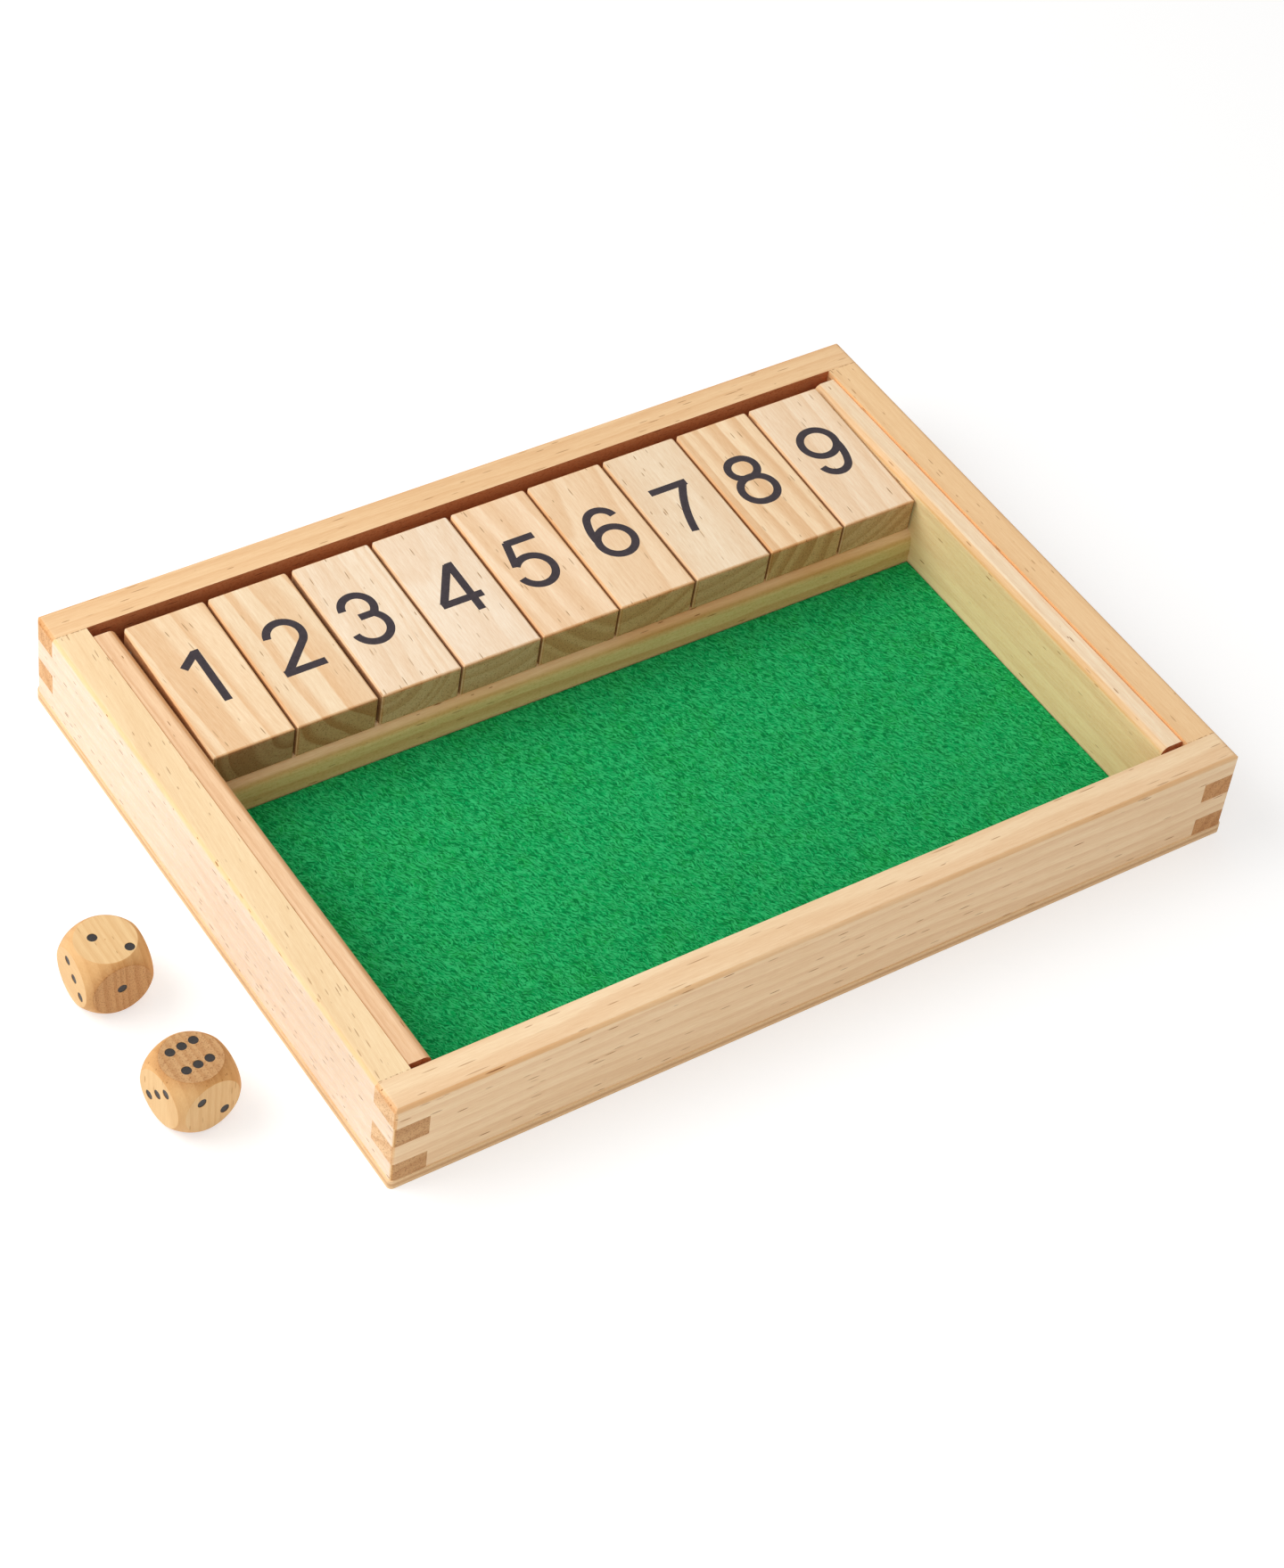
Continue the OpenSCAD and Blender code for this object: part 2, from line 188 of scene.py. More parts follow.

    # a face that was only sawn is darker and redder than the planed ones; the same tint also carries
    # painted shade on faces in narrow gaps, and a painted highlight on the left rail's outer side
    side = doVector(tree, "DOT_PRODUCT", given["Normal"], given["Sawn Side"])
    wide = doMath(tree, "MULTIPLY", doMath(tree, "ABSOLUTE", side), given["Both Sides"])
    sawn = softStep(tree, doMath(tree, "MAXIMUM", side, wide), 0.75, 0.95)
    rough = noiseAt(tree, place, 1.0, 3.0, 0.7, look["rough"]).outputs["Fac"]
    roughAmount = doMath(tree, "MULTIPLY", softStep(tree, rough, 0.45, 0.7), look["roughShare"])
    sawnOrPaintedLightWood = mixColor(tree, 1.0, wood, given["Sawn And Painted Light Tint"], "MULTIPLY")
    sawnOrPaintedLightWood = mixColor(tree, roughAmount, sawnOrPaintedLightWood, given["Sawn And Painted Light Tint"], "MULTIPLY")
    wood = mixColor(tree, sawn, wood, sawnOrPaintedLightWood)

    # rounded edges are darkened, here more and there less: partly the wear of hands, partly painted shade
    # that holds down the lamps' highlight on them
    way = addNode(tree, "SeparateXYZ", {0: doVector(tree, "ABSOLUTE", given["Normal"])}).outputs
    square = doMath(tree, "MAXIMUM", doMath(tree, "MAXIMUM", way[0], way[1]), way[2])
    wearAndShadeAmount = doMath(tree, "MULTIPLY_ADD", crowd, 1.4, 0.1)
    edge = doMath(tree, "MULTIPLY", softStep(tree, square, 0.995, 0.9), wearAndShadeAmount, clamp=True)
    wood = mixColor(tree, edge, wood, given["Edge Tint"], "MULTIPLY")

    # the broken dark line on top, where the board's end meets the next rail
    dots = noiseAt(tree, place, 1.0, 2.0, 0.6, look["dots"]).outputs["Fac"]
    seam = softStep(tree, given["Past Seam"], -0.35, -0.1)
    seam = doMath(tree, "MULTIPLY", seam, softStep(tree, way[2], 0.9, 0.99))
    seam = doMath(tree, "MULTIPLY", seam, softStep(tree, dots, 0.38, 0.6))
    wood = mixColor(tree, doMath(tree, "MULTIPLY", seam, look["seamShare"]), wood, given["Fleck"])

    # end grain drinks the finish: darker, with its rings and the dots of the canals
    end = softStep(tree, way[0], 0.55, 0.9)
    grit = noiseAt(tree, place, look["grit"], 3.0, 0.7).outputs["Fac"]
    gritAmount = doMath(tree, "MULTIPLY", softStep(tree, grit, 0.48, 0.7), look["gritShare"])
    endRings = doMath(tree, "MULTIPLY", late, look["endRingShare"])
    drunk = mixColor(tree, 1.0, wood, given["End Tint"], "MULTIPLY")
    drunk = mixColor(tree, endRings, drunk, given["End Tint"], "MULTIPLY")
    drunk = mixColor(tree, gritAmount, drunk, look["gritTint"], "MULTIPLY")
    wood = mixColor(tree, end, wood, drunk)

    tree.links.new(wood, out["Color"])
    gloss = doMath(tree, "MULTIPLY_ADD", fibre, 0.14, look["baseRoughness"])
    gloss = doMath(tree, "MULTIPLY_ADD", doMath(tree, "MAXIMUM", end, sawn), 0.2, gloss)
    tree.links.new(doMath(tree, "MULTIPLY_ADD", fleck, 0.15, gloss, clamp=True), out["Roughness"])
    height = doMath(tree, "MULTIPLY_ADD", hair, 0.3, doMath(tree, "MULTIPLY", fibre, 0.5))
    height = doMath(tree, "MULTIPLY_ADD", late, 0.2, height)
    height = doMath(tree, "MULTIPLY_ADD", doMath(tree, "MULTIPLY", grit, end), 0.5, height)
    height = doMath(tree, "MULTIPLY_ADD", doMath(tree, "MULTIPLY", rough, sawn), 0.8, height)
    tree.links.new(doMath(tree, "MULTIPLY_ADD", fleck, -0.9, height), out["Height"])
    return tree


pineGroup = makePineGroup(pineFigure)


def newMaterial(name, viewColor):
    material = bpy.data.materials.new(name)
    material.use_nodes = True
    material.diffuse_color = viewColor
    tree = material.node_tree
    shader = tree.nodes["Principled BSDF"]
    coords = tree.nodes.new("ShaderNodeTexCoord")
    return material, tree, shader, coords


perMetre = (1000.0, 1000.0, 1000.0)


def inMillimetres(tree, coords):
    return addNode(tree, "Mapping", {"Vector": coords.outputs["Object"], "Scale": perMetre}).outputs[0]


def addBump(tree, shader, height, bump):
    node = addNode(tree, "Bump", {"Height": height, "Strength": bump[0], "Distance": bump[1]})
    tree.links.new(node.outputs[0], shader.inputs["Normal"])


def makePine(name, board):
    # turn brings the board's grain onto X, and pith is where the ring centre then lies, in mm
    material, tree, shader, coords = newMaterial(name, board["Pale"])
    turned = [math.radians(a) for a in board["turn"]]
    place = addNode(tree, "Mapping", {"Vector": coords.outputs["Object"], "Location": board["pith"],
                                      "Rotation": turned, "Scale": perMetre})
    facing = addNode(tree, "Mapping", {"Vector": coords.outputs["Normal"], "Rotation": turned},
                     vector_type="VECTOR")
    figure = addNode(tree, "Group", node_tree=pineGroup)
    tree.links.new(place.outputs[0], figure.inputs["Vector"])
    tree.links.new(facing.outputs[0], figure.inputs["Normal"])
    for key, value in board.items():
        if key in figure.inputs:
            figure.inputs[key].default_value = value
    if "seam" in board:
        # how far past the seam, in mm along Y from the middle
        length = addNode(tree, "SeparateXYZ", {0: coords.outputs["Object"]}).outputs[1]
        length = doMath(tree, "MULTIPLY", doMath(tree, "ABSOLUTE", length), 1000.0)
        tree.links.new(doMath(tree, "SUBTRACT", length, board["seam"]), figure.inputs["Past Seam"])
    tree.links.new(figure.outputs["Color"], shader.inputs["Base Color"])
    tree.links.new(figure.outputs["Roughness"], shader.inputs["Roughness"])
    addBump(tree, shader, figure.outputs["Height"], pineFigure["bump"])
    shader.inputs["Specular IOR Level"].default_value = pineFigure["shine"]
    return material


def dress(name, material):
    for slot in nodes[name].material_slots:
        slot.material = material


railLook = {
    "Pale": rgb("fbdcae"), "Ring": rgb("eec493"), "Fleck": rgb("a06c3e"), "End Tint": rgb("efe4da"),
    "Sawn And Painted Light Tint": rgb("dcb9a0"), "Sawn Side": (0.0, 1.0, 0.0), "Both Sides": 0.0,
    "Edge Tint": rgb("efd9bd"), "Ring Width": 4.2, "Ring Strength": 0.35, "Wander": 1.5,
    "Fleck Share": 0.5, "Fleck Stretch": 1.0, "Fibre Strength": 0.8,
}
stripLook = dict(railLook, **{
    "Pale": rgb("f7cea3"), "Ring": rgb("dfab7c"), "Ring Width": 3.0, "Ring Strength": 0.4, "Wander": 0.8,
    "Fleck Share": 0.2, "End Tint": rgb("d3a184"), "Fibre Strength": 1.0})
boards = {
    "front_rail": dict(railLook, turn=(0, 0, 0), pith=(40, 96, 21), **{
        "Pale": rgb("fcdcb2"), "Ring": rgb("e8b889"), "Ring Width": 3.6, "Ring Strength": 0.36,
        "Fleck Share": 1.15, "Fleck Stretch": 2.2, "Edge Tint": rgb("f5dfc4"),
        "End Tint": rgb("f2e9e0")}),
    # painted shade: the back rail's inner face is tinted darker and redder for the narrow gap behind the
    # tiles, partly a sawn face's own colour
    "back_rail": dict(railLook, turn=(0, 0, 0), pith=(900, -42, -35), **{
        "Pale": rgb("f6cd9c"), "Ring": rgb("e4b07c"), "Sawn Side": (0.0, -1.0, 0.0),
        "Sawn And Painted Light Tint": rgb("d6a288"), "Fleck Share": 0.7, "Fleck Stretch": 1.6}),
    # the outer side of this one is painted paler and less yellow than its top, a painted highlight for
    # the strong light from the left
    "left_rail": dict(railLook, turn=(0, 0, -86), pith=(-10, -90, 30), **{
        "Sawn And Painted Light Tint": (0.95, 1.02, 1.28, 1.0), "Ring Strength": 0.22, "Edge Tint": rgb("fdf2e0"),
        "End Tint": rgb("dac5b3"), "Fleck Share": 0.7, "seam": 70.45}),
    "right_rail": dict(railLook, turn=(0, 0, -90), pith=(0, 150, 18), **{
        "Pale": rgb("fad19e"), "Ring": rgb("ecbd88"), "Sawn And Painted Light Tint": rgb("fff6ea"),
        "End Tint": rgb("dac5b3"), "seam": 70.45}),
    "left_strip": dict(stripLook, turn=(0, 0, -90), pith=(1300, -60, -20)),
    "right_strip": dict(stripLook, turn=(0, 0, -90), pith=(1700, 130, -30), **{
        "Pale": rgb("ffe5c1"), "Ring": rgb("edc7a0"), "Ring Strength": 0.3, "Sawn And Painted Light Tint": rgb("fbf3dc")}),
    "tile_rest_bar": dict(stripLook, turn=(0, 0, 0), pith=(2100, -50, 10), **{
        "Pale": rgb("ffe6bd"), "Ring": rgb("e8b888"), "Ring Width": 2.6, "Ring Strength": 0.6,
        "Sawn Side": (0.0, -1.0, 0.0), "Sawn And Painted Light Tint": rgb("e6dcba")}),
}
for name, board in boards.items():
    dress(name, makePine("pine_" + name, board))

# each tile is cut from a board of its own
# painted shade: the tiles' sides are tinted dark for the narrow gaps between them
tileLook = dict(railLook, **{
    "Pale": rgb("fbe0bb"), "Ring": rgb("ebbd8c"), "Fleck": rgb("b08b62"), "End Tint": rgb("d9c3a8"),
    "Sawn And Painted Light Tint": rgb("b8967a"), "Both Sides": 1.0, "Edge Tint": rgb("f3dabb"), "Wander": 1.8,
    "Fleck Share": 0.35, "Fleck Stretch": 1.3, "Fibre Strength": 1.0})
tileBoards = {
    1: {"turn": (0, 0, -96), "pith": (120, -70, -22), "Ring Width": 6.5, "Ring Strength": 0.7,
        "Pale": rgb("fbdcb4"), "End Tint": rgb("b5a28c")},
    2: {"turn": (0, 0, -91), "pith": (460, -35, -40), "Ring Width": 6.0, "Ring Strength": 0.75,
        "End Tint": rgb("c9b296")},
    3: {"turn": (0, 0, -88), "pith": (810, -52, -26), "Ring Width": 4.0, "Ring Strength": 0.25,
        "Pale": rgb("fce4c6")},
    4: {"turn": (0, 0, -90), "pith": (1170, -30, -55), "Ring Width": 3.6, "Ring Strength": 0.2,
        "Pale": rgb("fce5c9")},
    5: {"turn": (0, 0, -92), "pith": (1520, 36, -60), "Ring Width": 5.6, "Ring Strength": 0.5,
        "Pale": rgb("ffdfba")},
    6: {"turn": (0, 0, -90), "pith": (1890, 10, -46), "Ring Width": 5.0, "Ring Strength": 0.5,
        "Pale": rgb("fddeb8")},
    7: {"turn": (0, 0, -89), "pith": (2240, 28, -62), "Ring Width": 3.8, "Ring Strength": 0.25,
        "Pale": rgb("fae1c0")},
    8: {"turn": (0, 0, -91), "pith": (2600, 24, -30), "Ring Width": 5.4, "Ring Strength": 0.75,
        "Pale": rgb("ffdfb6")},
    9: {"turn": (0, 0, -90), "pith": (2950, 60, -44), "Ring Width": 4.2, "Ring Strength": 0.35,
        "Pale": rgb("ffe4c3")},
}
for number, cut in tileBoards.items():
    dress("tile_%d" % number, makePine("pine_tile_%d" % number, dict(tileLook, **cut)))
print("pine done")


# thin plywood base, whose top shows only as a fine ledge round the rails
plywoodLook = {
    "face": rgb("f8d8ac"), "streak": rgb("e4ba88"), "edge": rgb("f0ca98"), "core": rgb("d9ac7a"),
    "dark": rgb("b98a5a"), "bump": (0.3, 0.0001),
    # where the middle ply lies, and how soft its borders are, in mm
    "corePart": (0.7, 1.7), "coreBlur": 0.15,
}


def makePlywood(look):
    material, tree, shader, coords = newMaterial("plywood", look["face"])
    place = inMillimetres(tree, coords)
    height = addNode(tree, "SeparateXYZ", {0: place}).outputs[2]
    up = addNode(tree, "SeparateXYZ", {0: coords.outputs["Normal"]}).outputs[2]
    flat = softStep(tree, doMath(tree, "ABSOLUTE", up), 0.5, 0.9)
    grain = noiseAt(tree, place, 1.0, 4.0, 0.6, (0.03, 0.9, 0.9)).outputs["Fac"]
    bands = noiseAt(tree, place, 1.0, 2.0, 0.5, (0.006, 0.12, 0.1)).outputs["Fac"]
    face = mixColor(tree, softStep(tree, bands, 0.35, 0.7), look["face"], look["streak"])
    streaks = doMath(tree, "MULTIPLY", softStep(tree, grain, 0.45, 0.75), 0.6)
    face = mixColor(tree, streaks, face, look["streak"])
    low, high = look["corePart"]
    blur = look["coreBlur"]
    inCore = doMath(tree, "MULTIPLY", softStep(tree, height, low, low + blur),
                    softStep(tree, height, high, high - blur))
    fine = noiseAt(tree, place, 1.0, 3.0, 0.7, (1.6, 1.6, 5.0)).outputs["Fac"]
    side = mixColor(tree, inCore, look["edge"], look["core"])
    pores = doMath(tree, "MULTIPLY", softStep(tree, fine, 0.45, 0.8), 0.5)
    side = mixColor(tree, pores, side, look["dark"])
    tree.links.new(mixColor(tree, flat, side, face), shader.inputs["Base Color"])
    tree.links.new(doMath(tree, "MULTIPLY_ADD", grain, 0.2, 0.45), shader.inputs["Roughness"])
    addBump(tree, shader, doMath(tree, "ADD", grain, fine), look["bump"])
    return material


dress("base_panel", makePlywood(plywoodLook))

# ink stamped into the tiles, with a few specks of wood left bare
inkLook = {"dark": rgb("31292e"), "light": rgb("3d3439"), "bare": rgb("a8886a"),
           "shine": 0.3, "bump": (0.3, 0.00005)}


def makeInk(look):
    material, tree, shader, coords = newMaterial("stampedInk", look["dark"])
    place = inMillimetres(tree, coords)
    patch = noiseAt(tree, place, 0.8, 3.0, 0.6).outputs["Fac"]
    speck = noiseAt(tree, place, 1.0, 3.0, 0.75, (5.0, 1.6, 5.0)).outputs["Fac"]
    ink = mixColor(tree, softStep(tree, patch, 0.3, 0.7), look["dark"], look["light"])
    specks = doMath(tree, "MULTIPLY", softStep(tree, speck, 0.68, 0.8), 0.5)
    ink = mixColor(tree, specks, ink, look["bare"])
    tree.links.new(ink, shader.inputs["Base Color"])
    tree.links.new(doMath(tree, "MULTIPLY_ADD", patch, 0.2, 0.5), shader.inputs["Roughness"])
    addBump(tree, shader, speck, look["bump"])
    shader.inputs["Specular IOR Level"].default_value = look["shine"]
    return material


ink = makeInk(inkLook)
for number in range(1, 10):
    dress("numeral_%d" % number, ink)

pipPaintLook = {"dark": rgb("120d0b"), "light": rgb("2e2520"), "bump": (0.6, 0.0003)}


def makePipPaint(look):
    material, tree, shader, coords = newMaterial("pipPaint", look["dark"])
    lumps = noiseAt(tree, inMillimetres(tree, coords), 1.3, 2.0).outputs["Fac"]
    tree.links.new(mixColor(tree, lumps, look["dark"], look["light"]), shader.inputs["Base Color"])
    tree.links.new(doMath(tree, "MULTIPLY_ADD", lumps, 0.25, 0.3), shader.inputs["Roughness"])
    addBump(tree, shader, lumps, look["bump"])
    return material


pipPaint = makePipPaint(pipPaintLook)
for number in (1, 2):
    dress("die_%d_pips" % number, pipPaint)

steelLook = {"dark": rgb("9c9b98"), "light": rgb("c9c8c4")}


def makeSteel(look):
    material, tree, shader, coords = newMaterial("drawnSteel", look["light"])
    lines = noiseAt(tree, inMillimetres(tree, coords), 1.0, 3.0, 0.6, (0.08, 9.0, 9.0)).outputs["Fac"]
    tree.links.new(mixColor(tree, lines, look["dark"], look["light"]), shader.inputs["Base Color"])
    tree.links.new(doMath(tree, "MULTIPLY_ADD", lines, 0.2, 0.22), shader.inputs["Roughness"])
    shader.inputs["Metallic"].default_value = 1.0
    return material


dress("pivot_rod", makeSteel(steelLook))
print("plywood, ink, paint and steel done")


def selectOnly(obj):
    bpy.ops.object.select_all(action="DESELECT")
    obj.select_set(True)
    bpy.context.view_layer.objects.active = obj


def applyPlace():
    bpy.ops.object.transform_apply(location=True, rotation=True, scale=True)


def applyModifier(obj, kind, **settings):
    selectOnly(obj)
    modifier = obj.modifiers.new(kind.lower(), kind)
    for name, value in settings.items():
        setattr(modifier, name, value)
    bpy.ops.object.modifier_apply(modifier=modifier.name)


# tumbled beech dice: a cube met by a ball, with softly worn rims and drilled pips
diceLook = {
    "size": 0.0155, "ball": 1.32, "rimRound": 0.0003,
    "pipWidth": 0.0022, "pipDepth": 0.0004, "pipSpacing": 0.00285, "centreMark": 0.0003,
    # for each die its place and turn, and for each face its way out, its number, the turn
    # of its pips and how far the drill missed the middle, in mm
    "dice": {
        1: {"place": (-0.1334, -0.0053), "turn": 0.0, "faces": [
            ((0, 0, 0), 2, 0, (0.7, -1.2)), ((180, 0, 0), 5, 0, (0.4, 0)),
            ((0, -90, 0), 3, 90, (0.6, -1.1)), ((0, 90, 0), 4, 0, (0, -0.5)),
            ((90, 0, 0), 1, 0, (0, 0.2)), ((-90, 0, 0), 6, 0, (0.3, 0.2))]},
        2: {"place": (-0.1326, -0.0412), "turn": 7.4, "faces": [
            ((0, 0, 0), 6, 0, (0.1, 0.6)), ((180, 0, 0), 1, 0, (0.3, -0.4)),
            ((0, -90, 0), 3, 0, (0.8, 0.6)), ((0, 90, 0), 4, 0, (-0.4, 0.3)),
            ((90, 0, 0), 2, 0, (0.1, 0)), ((-90, 0, 0), 5, 0, (0, 0.4))]},
    },
}
beechLook = dict(railLook, **{
    "Pale": rgb("edc690"), "Ring": rgb("dcaa70"), "Fleck": rgb("b58550"), "End Tint": rgb("e2d4cc"),
    "Sawn And Painted Light Tint": rgb("ffffff"), "Ring Width": 1.9, "Ring Strength": 0.35, "Wander": 0.8,
    "Fleck Share": 0.3, "Fibre Strength": 0.7})
beechBlocks = {
    1: dict(beechLook, turn=(0, 0, 90), pith=(300, 30, -14)),
    2: dict(beechLook, turn=(0, 90, 0), pith=(900, 36, 12)),
}


def pipSpots(number):
    spots = [(0, 0)] if number % 2 else []
    if number > 1:
        spots += [(-1, 1), (1, -1)]
    if number > 3:
        spots += [(-1, -1), (1, 1)]
    if number == 6:
        spots += [(0, 1), (0, -1)]
    return spots


def makeDie(number, look, block):
    values = look["dice"][number]
    size = look["size"]
    bpy.ops.object.select_all(action="DESELECT")
    bpy.ops.mesh.primitive_cube_add(size=size)
    die = bpy.context.object
    die.name = "turned_die_%d" % number
    bpy.ops.mesh.primitive_uv_sphere_add(segments=96, ring_count=64, radius=size * look["ball"] / 2)
    ball = bpy.context.object
    applyModifier(die, "BOOLEAN", object=ball, operation="INTERSECT", solver="EXACT")
    applyModifier(die, "BEVEL", width=look["rimRound"], segments=3, limit_method="ANGLE",
                  angle_limit=math.radians(22))

    # every pip is a short drill, and all the drills cut as one
    drills = []
    for way, count, turn, drift in values["faces"]:
        tilt = Matrix.Rotation(math.radians(way[0]), 4, "X")
        out = Matrix.Rotation(math.radians(way[1]), 4, "Y") @ tilt
        spin = Matrix.Rotation(math.radians(turn), 4, "Z")
        for spot in pipSpots(count):
            at = spin @ Vector((spot[0] * look["pipSpacing"], spot[1] * look["pipSpacing"], 0))
            at += Vector((drift[0] / 1000, drift[1] / 1000, size / 2))
            bpy.ops.mesh.primitive_cylinder_add(vertices=40, radius=look["pipWidth"] / 2,
                                                depth=2 * look["pipDepth"])
            drill = bpy.context.object
            drill.matrix_world = out @ Matrix.Translation(at)
            drills.append(drill)
    for end in (1, -1):
        # the little hollow that the lathe's centre left
        bpy.ops.mesh.primitive_cone_add(vertices=16, radius1=0.0, radius2=look["centreMark"],
                                        depth=look["centreMark"] * 1.2, location=(0, 0, end * size / 2))
        if end < 0:
            bpy.context.object.rotation_euler = (math.pi, 0, 0)
        drills.append(bpy.context.object)
    bpy.ops.object.select_all(action="DESELECT")
    for drill in drills:
        drill.select_set(True)
    bpy.context.view_layer.objects.active = drills[0]
    bpy.ops.object.join()
    applyPlace()
    applyModifier(die, "BOOLEAN", object=drills[0], operation="DIFFERENCE", solver="EXACT")
    for helper in (ball, drills[0]):
        bpy.data.objects.remove(helper)

    die.location = (values["place"][0], values["place"][1], size / 2)
    die.rotation_euler = (0, 0, math.radians(values["turn"]))
    selectOnly(die)
    applyPlace()
    bpy.ops.object.shade_smooth_by_angle(angle=math.radians(28))
    die.data.materials.clear()
    die.data.materials.append(makePine("beech_die_%d" % number, block))
    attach(die, "loose_die_%d" % number)
    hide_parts("die_%d" % number)


for number in (1, 2):
    makeDie(number, diceLook, beechBlocks[number])
print("dice done")


# green felt, cut to the tray's floor and laid loose on the base
feltLook = {
    "width": 0.1863, "depth": 0.0938, "thick": 0.001, "cells": (188, 94), "rim": 0.00025,
    # a soft swell and the fine unevenness on top of it: height in metres, and changes in a mm
    "swell": 0.00012, "swellRate": 0.09, "nap": 0.00004, "napRate": 0.7,
    "base": rgb("08ab5a"), "deep": rgb("00753a"), "light": rgb("40d080"), "warm": rgb("16a74b"),
    "deepShare": 0.9, "lightShare": 0.75,
    # how the fibres lie, in degrees from X
    "strandAngles": (-70, -58, -82, -40), "strandRate": (0.45, 2.9, 2.9), "bump": (0.8, 0.0004),
    "sheen": 0.05, "sheenTint": rgb("5fd690"), "shine": 0.06,
}


def makeFeltMaterial(look):
    material, tree, shader, coords = newMaterial("greenFelt", look["base"])
    place = inMillimetres(tree, coords)
    drift = doVector(tree, "SUBTRACT", noiseAt(tree, place, 0.3, 2.0).outputs["Color"], (0.5, 0.5, 0.5))
    bent = doVector(tree, "ADD", place, doVector(tree, "SCALE", drift, 2.4))
    top = None
    low = None
    for step, angle in enumerate(look["strandAngles"]):
        lay = addNode(tree, "Mapping", {"Vector": bent, "Rotation": (0.0, 0.0, math.radians(-angle)),
                                        "Location": (17.0 * step, 31.0 * step, 9.0 * step)}).outputs[0]
        strand = noiseAt(tree, lay, 1.0, 1.0, 0.5, look["strandRate"]).outputs["Fac"]
        top = strand if top is None else doMath(tree, "MAXIMUM", top, strand)
        low = strand if low is None else doMath(tree, "MINIMUM", low, strand)
    blotch = noiseAt(tree, place, 0.16, 3.0, 0.6).outputs["Fac"]
    green = mixColor(tree, softStep(tree, blotch, 0.4, 0.7), look["base"], look["warm"])
    shaded = doMath(tree, "MULTIPLY", softStep(tree, low, 0.46, 0.32), look["deepShare"])
    lit = doMath(tree, "MULTIPLY", softStep(tree, top, 0.56, 0.7), look["lightShare"])
    green = mixColor(tree, shaded, green, look["deep"])
    green = mixColor(tree, lit, green, look["light"])
    tree.links.new(green, shader.inputs["Base Color"])
    tree.links.new(doMath(tree, "MULTIPLY_ADD", blotch, 0.1, 0.86), shader.inputs["Roughness"])
    shader.inputs["Sheen Weight"].default_value = look["sheen"]
    shader.inputs["Sheen Roughness"].default_value = 0.5
    shader.inputs["Sheen Tint"].default_value = look["sheenTint"]
    shader.inputs["Specular IOR Level"].default_value = look["shine"]
    addBump(tree, shader, doMath(tree, "SUBTRACT", top, low), look["bump"])
    return material


def makeFelt(look):
    bpy.ops.object.select_all(action="DESELECT")
    across, back = look["cells"]
    bpy.ops.mesh.primitive_grid_add(x_subdivisions=across, y_subdivisions=back, size=1.0)
    felt = bpy.context.object
    felt.name = "felt_sheet"
    lowest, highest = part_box("felt_mat")
    middle = (Vector(lowest) + Vector(highest)) / 2
    felt.scale = (highest[0] - lowest[0], highest[1] - lowest[1], 1.0)
    felt.location = (middle.x, middle.y, highest[2])
    applyPlace()
    # felt is never quite even
    for vertex in felt.data.vertices:
        spot = vertex.co * 1000
        low = look["swell"] * (0.5 + 0.5 * noise.noise(spot * look["swellRate"]))
        vertex.co.z -= low + look["nap"] * noise.noise(spot * look["napRate"])
    applyModifier(felt, "SOLIDIFY", thickness=look["thick"] - look["swell"] / 2, offset=-1.0)
    for vertex in felt.data.vertices:
        vertex.co.z = max(vertex.co.z, lowest[2])
    applyModifier(felt, "BEVEL", width=look["rim"], segments=2, limit_method="ANGLE",
                  angle_limit=math.radians(60))
    bpy.ops.object.shade_smooth_by_angle(angle=math.radians(50))
    felt.data.materials.append(makeFeltMaterial(look))
    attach(felt, "tray")
    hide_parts("felt_mat")


makeFelt(feltLook)
print("felt done")


def seenByCamera(tree):
    # straight, or in a shine
    rays = addNode(tree, "LightPath").outputs
    mirrored = doMath(tree, "MAXIMUM", rays["Is Glossy Ray"], rays["Is Transmission Ray"])
    return doMath(tree, "MAXIMUM", rays["Is Camera Ray"], mirrored)


tableLook = {"size": 6.0, "color": rgb("f6f5f4"), "whiteShare": 0.55, "gain": 1.3}


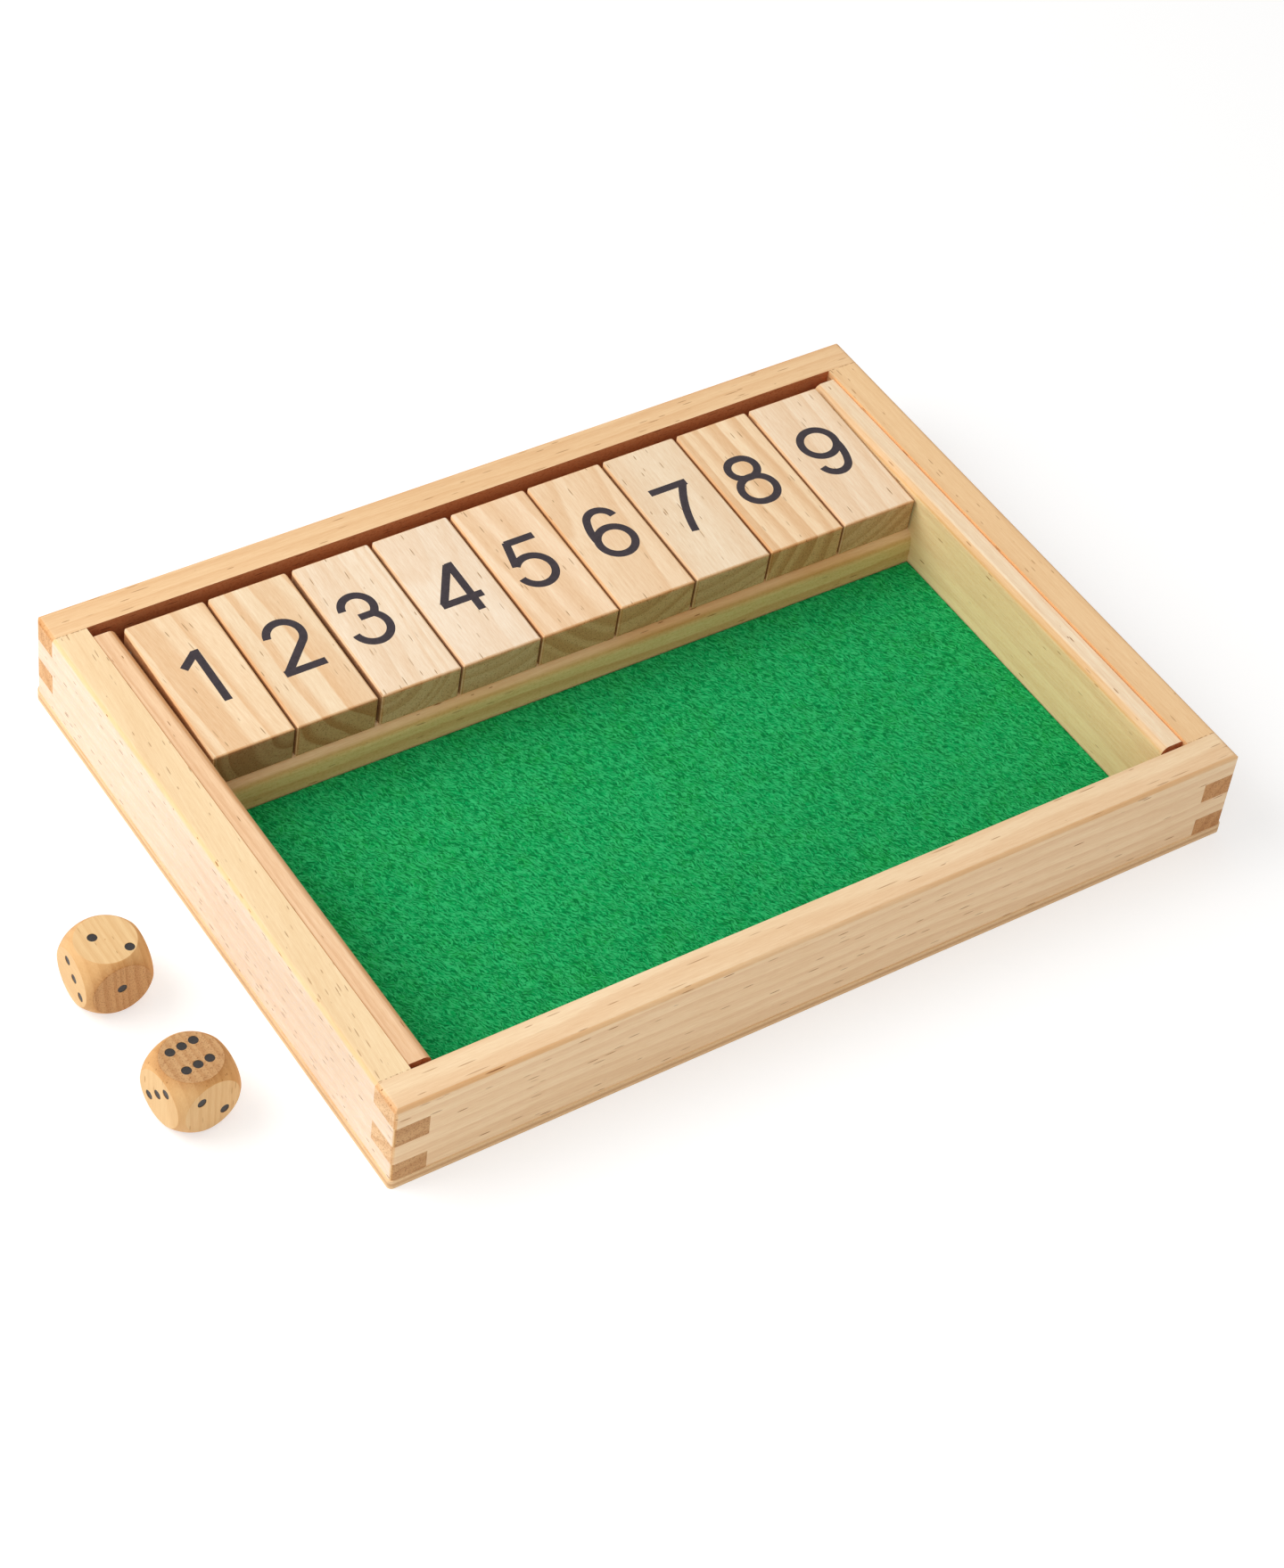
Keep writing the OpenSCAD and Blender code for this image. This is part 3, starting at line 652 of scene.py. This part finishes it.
def makeTable(look):
    bpy.ops.object.select_all(action="DESELECT")
    bpy.ops.mesh.primitive_plane_add(size=look["size"], location=(0, 0, 0))
    table = bpy.context.object
    table.name = "table"
    material, tree, shader, coords = newMaterial("tablePaper", look["color"])
    shader.inputs["Base Color"].default_value = look["color"]
    shader.inputs["Roughness"].default_value = 0.9
    # the camera sees the paper as white, with the soft shadows left on it
    white = addNode(tree, "Emission", {"Color": (1.0, 1.0, 1.0, 1.0), "Strength": 1.0})
    paper = addNode(tree, "BsdfDiffuse", {"Color": (look["gain"], look["gain"], look["gain"], 1.0)})
    seenPaper = addNode(tree, "MixShader", {0: look["whiteShare"], 1: paper.outputs[0],
                                            2: white.outputs[0]})
    seen = seenByCamera(tree)
    mixed = addNode(tree, "MixShader", {0: seen, 1: shader.outputs[0], 2: seenPaper.outputs[0]})
    tree.links.new(mixed.outputs[0], tree.nodes["Material Output"].inputs["Surface"])
    table.data.materials.append(material)


lightLook = {
    "sky": (1.0, 0.985, 0.965, 1.0), "skyStrength": 0.5,
    # softboxes: name, place, aim, width, height and watts
    "boxes": (
        ("key", (-0.6, 0.35, 0.65), (0, 0, 0), 0.7, 0.7, 6.0),
        ("front", (-0.5, -0.55, 0.35), (0, 0, 0), 0.5, 0.4, 0.7),
    ),
}


def makeLight(look):
    world = bpy.data.worlds.new("studio")
    bpy.context.scene.world = world
    world.use_nodes = True
    tree = world.node_tree
    sky = tree.nodes["Background"]
    sky.inputs["Color"].default_value = look["sky"]
    sky.inputs["Strength"].default_value = look["skyStrength"]
    backdrop = addNode(tree, "Background", {"Color": (1.0, 1.0, 1.0, 1.0), "Strength": 1.0})
    seen = seenByCamera(tree)
    mixed = addNode(tree, "MixShader", {0: seen, 1: sky.outputs[0], 2: backdrop.outputs[0]})
    tree.links.new(mixed.outputs[0], tree.nodes["World Output"].inputs["Surface"])
    for name, place, aim, width, height, watts in look["boxes"]:
        lamp = bpy.data.lights.new(name, "AREA")
        lamp.shape = "RECTANGLE"
        lamp.size, lamp.size_y, lamp.energy = width, height, watts
        holder = bpy.data.objects.new(name, lamp)
        bpy.context.scene.collection.objects.link(holder)
        holder.location = place
        holder.rotation_euler = (Vector(aim) - Vector(place)).to_track_quat("-Z", "Y").to_euler()


cameraLook = {"lens": 88.39, "place": (-0.3742, -0.47588, 0.61491), "turn": (43.9712, -5.7128, -32.6177)}


def makeCamera(look):
    camera = bpy.data.cameras.new("camera")
    camera.sensor_width = 36.0
    camera.lens = look["lens"]
    camera.clip_start, camera.clip_end = 0.01, 20.0
    holder = bpy.data.objects.new("camera", camera)
    bpy.context.scene.collection.objects.link(holder)
    holder.location = look["place"]
    holder.rotation_euler = [math.radians(a) for a in look["turn"]]
    bpy.context.scene.camera = holder


makeTable(tableLook)
makeLight(lightLook)
makeCamera(cameraLook)
bpy.context.scene.view_settings.view_transform = "Standard"
print("stage done")
